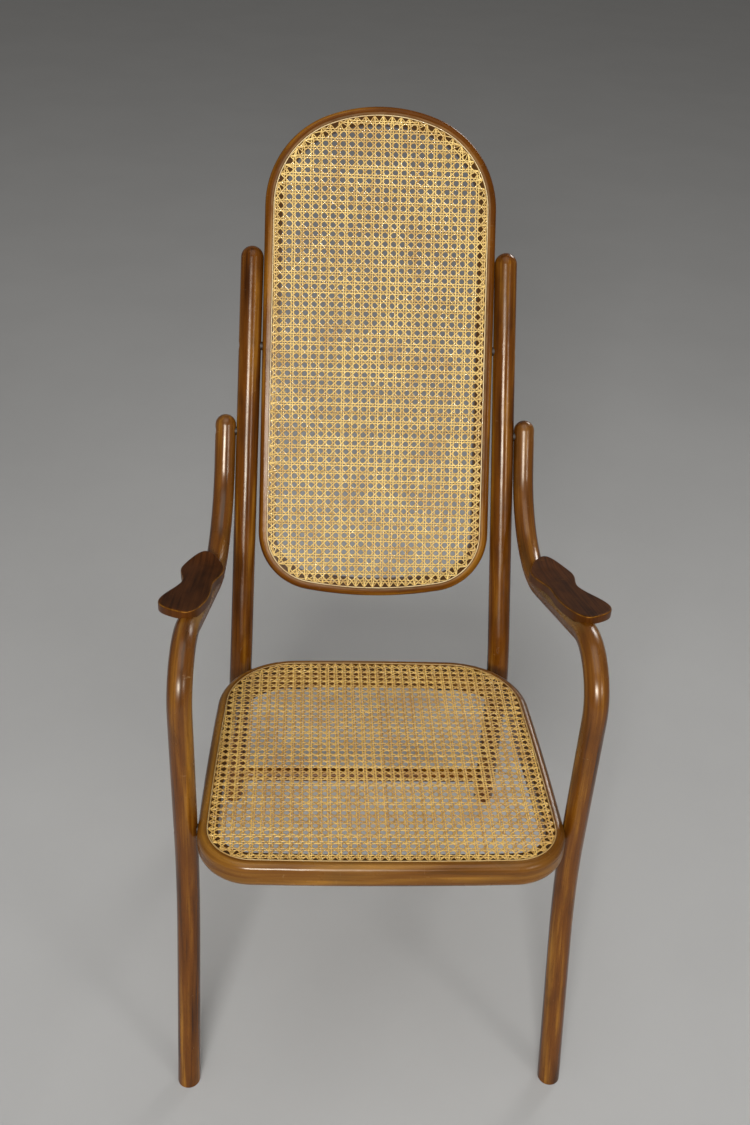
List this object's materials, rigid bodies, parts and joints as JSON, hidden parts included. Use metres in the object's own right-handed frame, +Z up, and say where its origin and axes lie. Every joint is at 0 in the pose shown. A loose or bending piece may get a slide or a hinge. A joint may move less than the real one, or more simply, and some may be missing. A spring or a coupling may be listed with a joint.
{
  "type": "folding cane armchair",
  "caption": "High-backed folding armchair of bent round wood rods with a cane seat, a tall arched cane back panel that tilts, and carved flat arm pads.",
  "frame": {"origin": "on the floor, at the middle of the chair's width and depth", "axes": "+Z up, -Y towards the sitter's front, +X to the right as seen from the front"},
  "size_m": [0.5862, 0.8502, 1.1551],
  "materials": {
    "bentwood": "satin varnish over a brown stain",
    "arm_pad_wood": "worn matt varnish over a dark stain",
    "cane": "glossy skin of woven cane",
    "cane_binding": "pale split cane",
    "steel": "darkened steel"
  },
  "bodies": {
    "rear_frame": {"left_post": "bentwood", "right_post": "bentwood", "seat_rest_rail": "bentwood", "rear_stretcher": "bentwood", "bar_screws": "steel", "arm_pivot_bolts": "steel", "arm_pivot_spacers": "steel"},
    "front_frame": {"left_arm_leg": "bentwood", "right_arm_leg": "bentwood", "left_arm_pad": "arm_pad_wood", "right_arm_pad": "arm_pad_wood", "arm_pad_screws": "steel", "seat_pivot_bolts": "steel", "seat_pivot_spacers": "steel"},
    "seat": {"seat_frame": "bentwood", "seat_cane": "cane", "seat_cane_binding": "cane_binding", "seat_hooks": "steel", "seat_hook_screws": "steel"},
    "back_panel": {"back_frame": "bentwood", "back_cane": "cane", "back_cane_binding": "cane_binding", "back_pivot_bolts": "steel", "back_pivot_spacers": "steel"}
  },
  "joints": [
    {"name": "front_fold", "type": "hinge", "parent": "rear_frame", "child": "front_frame", "pos_m": [0, 0.21068, 0.719], "axis": [1, 0, 0], "range_deg": [0, 32]},
    {"name": "seat_lift", "type": "hinge", "parent": "front_frame", "child": "seat", "pos_m": [0, -0.32678, 0.42082], "axis": [1, 0, 0], "range_deg": [0, 96]},
    {"name": "back_tilt", "type": "hinge", "parent": "rear_frame", "child": "back_panel", "pos_m": [0, 0.26601, 0.835], "axis": [1, 0, 0], "range_deg": [-10, 10]}
  ],
  "couplings": [
    {"joint": "seat_lift", "follows": "front_fold", "ratio": 3}
  ]
}
